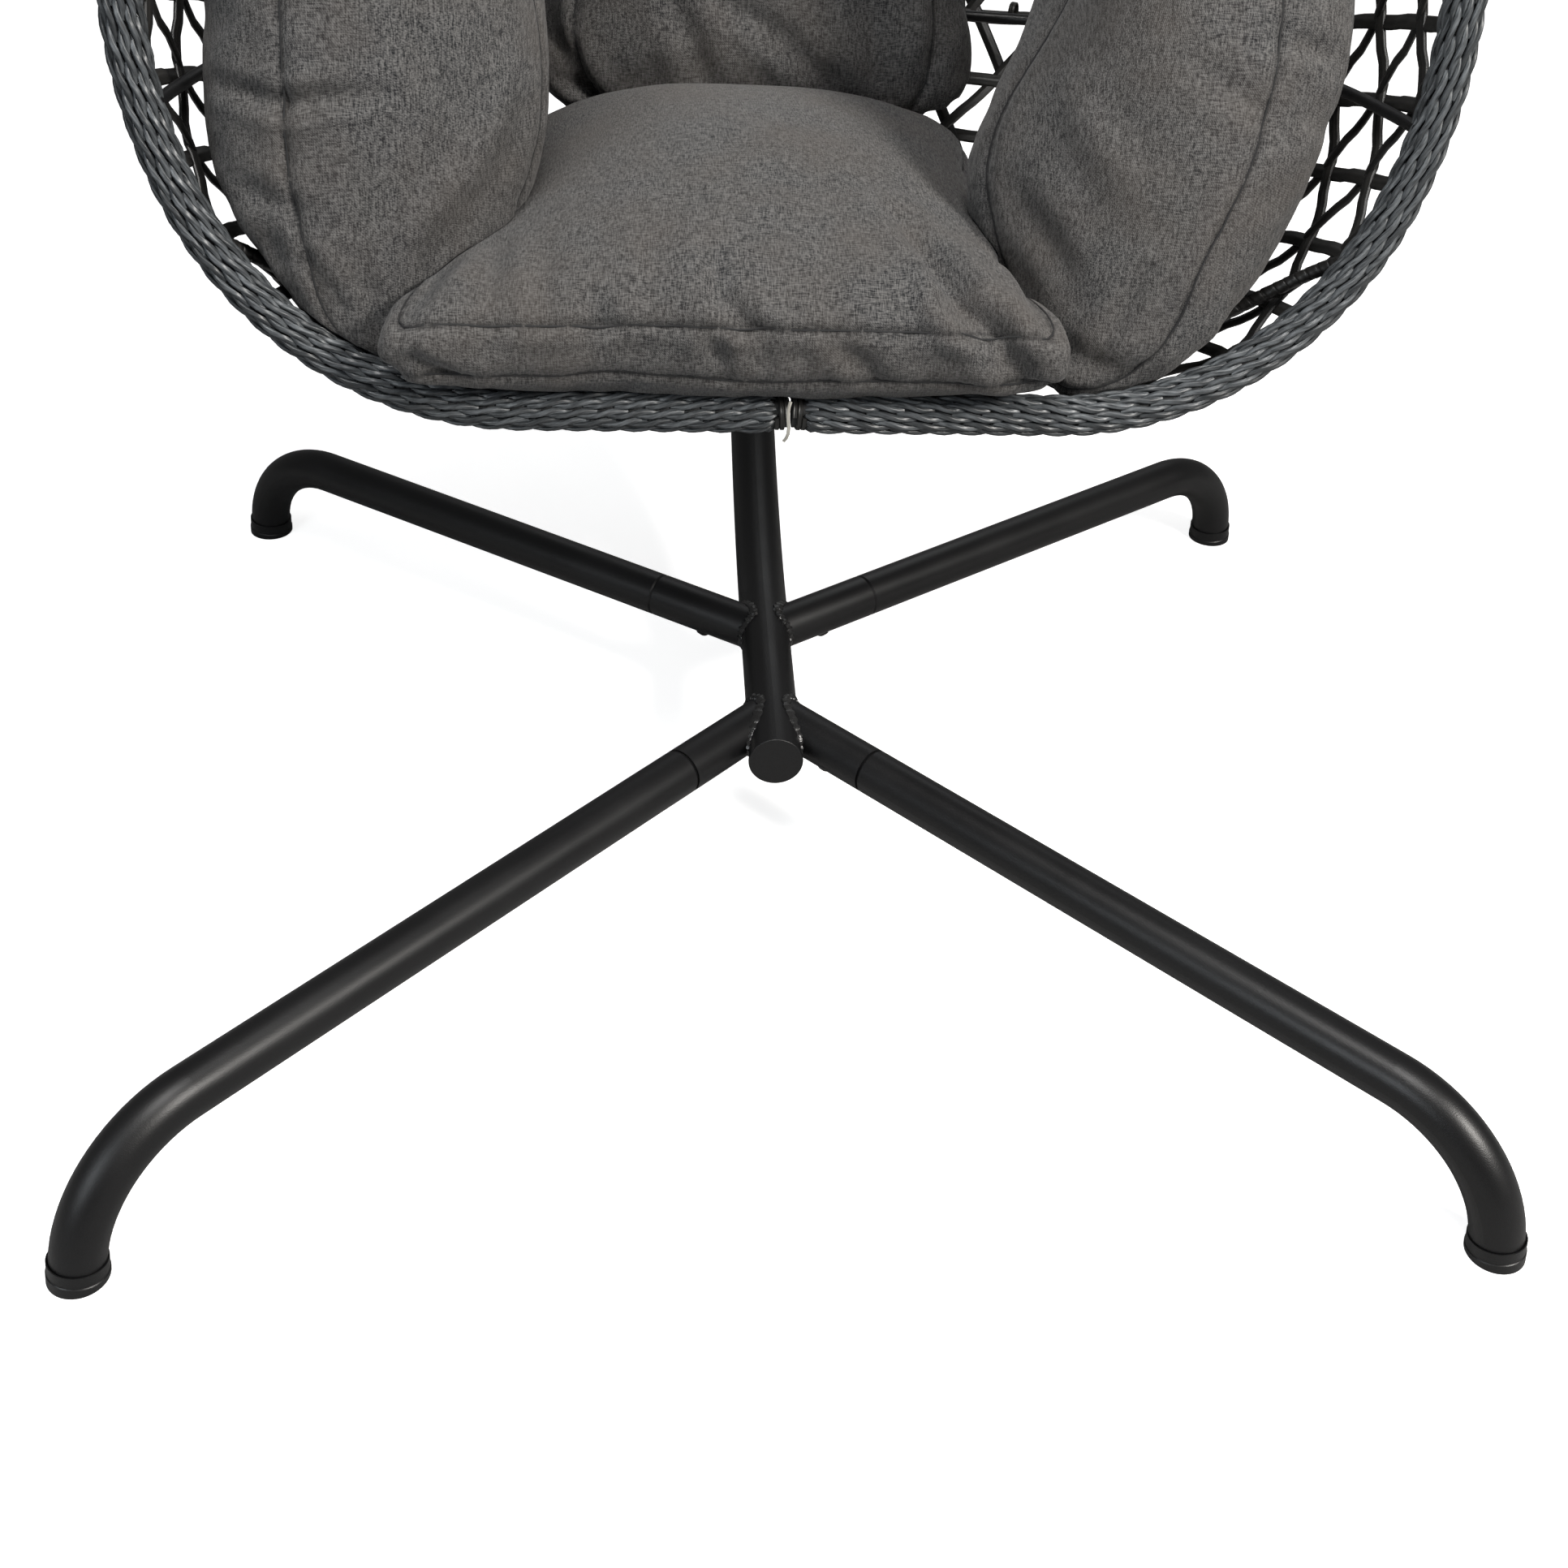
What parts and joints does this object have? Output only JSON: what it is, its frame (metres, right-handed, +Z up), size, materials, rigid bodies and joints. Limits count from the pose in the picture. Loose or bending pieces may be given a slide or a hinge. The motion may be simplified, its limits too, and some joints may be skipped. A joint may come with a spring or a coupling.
{
  "type": "hanging egg chair",
  "caption": "Woven egg-shaped basket seat with cushions, hung by a snap hook and swivel from a curved steel pole on a splayed tube base.",
  "frame": {"origin": "on the floor, at the middle of the footprint", "axes": "+Z up, the sitter faces -Y, +X is to the right in the view from the front"},
  "size_m": [1.1351, 1.3858, 1.9309],
  "materials": {
    "painted_steel": "satin black powder coat with a fine grain",
    "plated_steel": "zinc-plated steel",
    "black_plastic": "black moulded plastic",
    "grey_braid": "grey plastic rattan in a close braid",
    "dark_weave": "near-black flat plastic rattan in an open lattice",
    "charcoal_fabric": "charcoal heather woven polyester"
  },
  "bodies": {
    "basket": {"back_cushion": "charcoal_fabric", "bolster_left": "charcoal_fabric", "bolster_right": "charcoal_fabric", "crown_lug_left": "painted_steel", "crown_lug_right": "painted_steel", "fork_bolt": "plated_steel", "fork_nut": "plated_steel", "ribs_left": "painted_steel", "ribs_right": "painted_steel", "rim_braid_left": "grey_braid", "rim_braid_right": "grey_braid", "rim_tube_left": "painted_steel", "rim_tube_right": "painted_steel", "seat_cushion": "charcoal_fabric", "spine_bolts": "plated_steel", "spine_nuts": "plated_steel", "spine_spacers": "plated_steel", "spine_tube_left": "painted_steel", "spine_tube_right": "painted_steel", "swivel_fork": "plated_steel", "swivel_spindle": "plated_steel", "weave_left": "dark_weave", "weave_right": "dark_weave"},
    "stand": {"base_end_cap": "black_plastic", "base_tube": "painted_steel", "foot_front_left": "black_plastic", "foot_front_right": "black_plastic", "foot_rear_left": "black_plastic", "foot_rear_right": "black_plastic", "hanging_eye": "painted_steel", "leg_bolts": "plated_steel", "leg_front_left": "painted_steel", "leg_front_right": "painted_steel", "leg_nuts": "plated_steel", "leg_rear_left": "painted_steel", "leg_rear_right": "painted_steel", "leg_socket_front_left": "painted_steel", "leg_socket_front_right": "painted_steel", "leg_socket_rear_left": "painted_steel", "leg_socket_rear_right": "painted_steel", "pole_end_cap": "black_plastic", "pole_middle": "painted_steel", "pole_screws": "plated_steel", "pole_upper": "painted_steel"},
    "hook": {"gate_pin": "plated_steel", "snap_hook": "plated_steel"},
    "gate": {"hook_gate": "plated_steel"},
    "swivel": {"swivel_eye": "plated_steel", "swivel_housing": "plated_steel", "thrust_bearing": "plated_steel"}
  },
  "joints": [
    {"name": "side_swing", "type": "hinge", "parent": "stand", "child": "hook", "pos_m": [0, 0.13185, 1.838], "axis": [0, 1, 0], "range_deg": [-6, 6]},
    {"name": "gate_open", "type": "hinge", "parent": "hook", "child": "gate", "pos_m": [0.017, 0.13185, 1.7783], "axis": [0, -1, 0], "range_deg": [0, 22], "stiffness_Nm_per_rad": 0.3, "springref_deg": -11.46},
    {"name": "fore_aft_swing", "type": "hinge", "parent": "hook", "child": "swivel", "pos_m": [0, 0.13185, 1.7513], "axis": [1, 0, 0], "range_deg": [-12, 5]},
    {"name": "basket_spin", "type": "hinge", "parent": "swivel", "child": "basket", "pos_m": [0, 0.13185, 1.7], "axis": [0, 0, 1], "range_deg": [-45, 45]}
  ]
}
